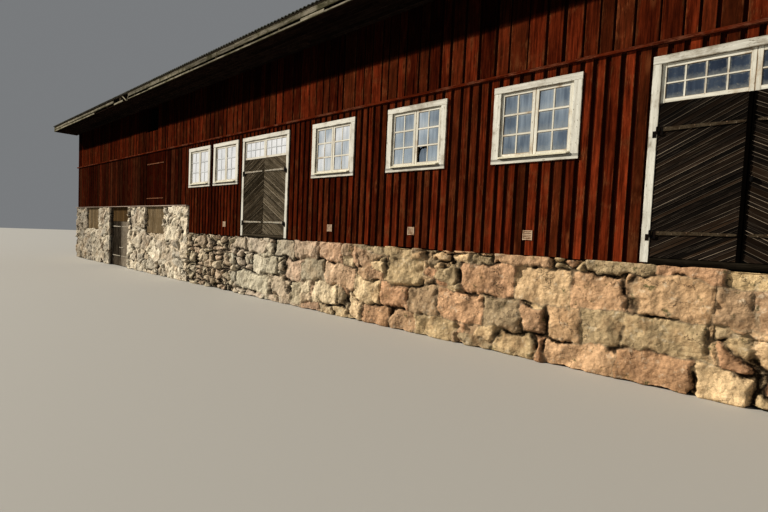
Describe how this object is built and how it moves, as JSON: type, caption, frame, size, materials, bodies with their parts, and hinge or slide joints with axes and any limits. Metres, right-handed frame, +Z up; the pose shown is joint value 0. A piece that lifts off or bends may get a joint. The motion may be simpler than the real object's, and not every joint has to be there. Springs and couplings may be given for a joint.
{
  "type": "timber barn on a granite basement",
  "caption": "Long red timber barn on a granite base with a high basement, hinged lapped doors, small-paned windows and a corrugated roof.",
  "frame": {"origin": "middle of the building's outline on the level ground it stands on", "axes": "+X along the building to the right of the front, +Y from the front to the back, +Z up"},
  "size_m": [31.8, 12.4218, 9.6094],
  "materials": {
    "granite": "rough fieldstone and granite blocks",
    "red_boards": "weathered red distemper on rough boards",
    "cream_paint": "peeling white oil paint",
    "bare_wood": "weathered bare timber",
    "tarred_boards": "dark tarred boards",
    "iron": "black wrought iron",
    "pane_glass": "old window glass",
    "roof_sheet": "corrugated fibre cement"
  },
  "bodies": {
    "barn": {"basement_front_left": "granite", "basement_front_right": "granite", "basement_end_walls": "granite", "basement_back_wall": "granite", "low_base_walls": "granite", "low_base_gable": "granite", "wall_vents": "granite", "barn_wall_front": "red_boards", "byre_walls_front": "red_boards", "loft_wall_front": "red_boards", "back_walls": "red_boards", "loft_wall_back": "red_boards", "gable_left": "red_boards", "gable_right": "red_boards", "belt_battens": "red_boards", "plank_hatch": "red_boards", "barn_floor": "bare_wood", "byre_floor": "bare_wood", "loft_floor": "bare_wood", "long_beams": "bare_wood", "drip_boards": "bare_wood", "boarded_windows": "bare_wood", "basement_door_frame": "bare_wood", "rafters": "bare_wood", "roof_boarding": "bare_wood", "roof_edge_boards": "bare_wood", "soffits": "bare_wood", "window_casings": "cream_paint", "door_casings": "cream_paint", "sashes": "cream_paint", "glass_panes": "pane_glass", "door_sills": "tarred_boards", "roof_sheets_front": "roof_sheet", "roof_sheets_back": "roof_sheet", "ridge_cap": "roof_sheet", "pintles": "iron"},
    "door_1_left": {"door_1_left_leaf": "tarred_boards", "door_1_left_straps": "iron"},
    "door_1_right": {"door_1_right_leaf": "tarred_boards", "door_1_right_straps": "iron"},
    "door_2_left": {"door_2_left_leaf": "tarred_boards", "door_2_left_straps": "iron"},
    "door_2_right": {"door_2_right_leaf": "tarred_boards", "door_2_right_straps": "iron"},
    "cellar_left": {"cellar_left_leaf": "tarred_boards", "cellar_left_straps": "iron"},
    "cellar_right": {"cellar_right_leaf": "tarred_boards", "cellar_right_straps": "iron"}
  },
  "joints": [
    {"name": "door_1_left_hinge", "type": "hinge", "parent": "barn", "child": "door_1_left", "pos_m": [0.0745, -5.28, 1.7], "axis": [0, 0, -1], "range_deg": [0, 165]},
    {"name": "door_1_right_hinge", "type": "hinge", "parent": "barn", "child": "door_1_right", "pos_m": [1.9915, -5.28, 1.7], "axis": [0, 0, 1], "range_deg": [0, 165]},
    {"name": "door_2_left_hinge", "type": "hinge", "parent": "barn", "child": "door_2_left", "pos_m": [10.0285, -5.28, 1.7], "axis": [0, 0, -1], "range_deg": [0, 165]},
    {"name": "door_2_right_hinge", "type": "hinge", "parent": "barn", "child": "door_2_right", "pos_m": [11.9455, -5.28, 1.7], "axis": [0, 0, 1], "range_deg": [0, 165]},
    {"name": "cellar_left_hinge", "type": "hinge", "parent": "barn", "child": "cellar_left", "pos_m": [-10.56, -5.18, 1.7], "axis": [0, 0, -1], "range_deg": [0, 100]},
    {"name": "cellar_right_hinge", "type": "hinge", "parent": "barn", "child": "cellar_right", "pos_m": [-8.59, -5.18, 1.7], "axis": [0, 0, 1], "range_deg": [0, 100]}
  ]
}
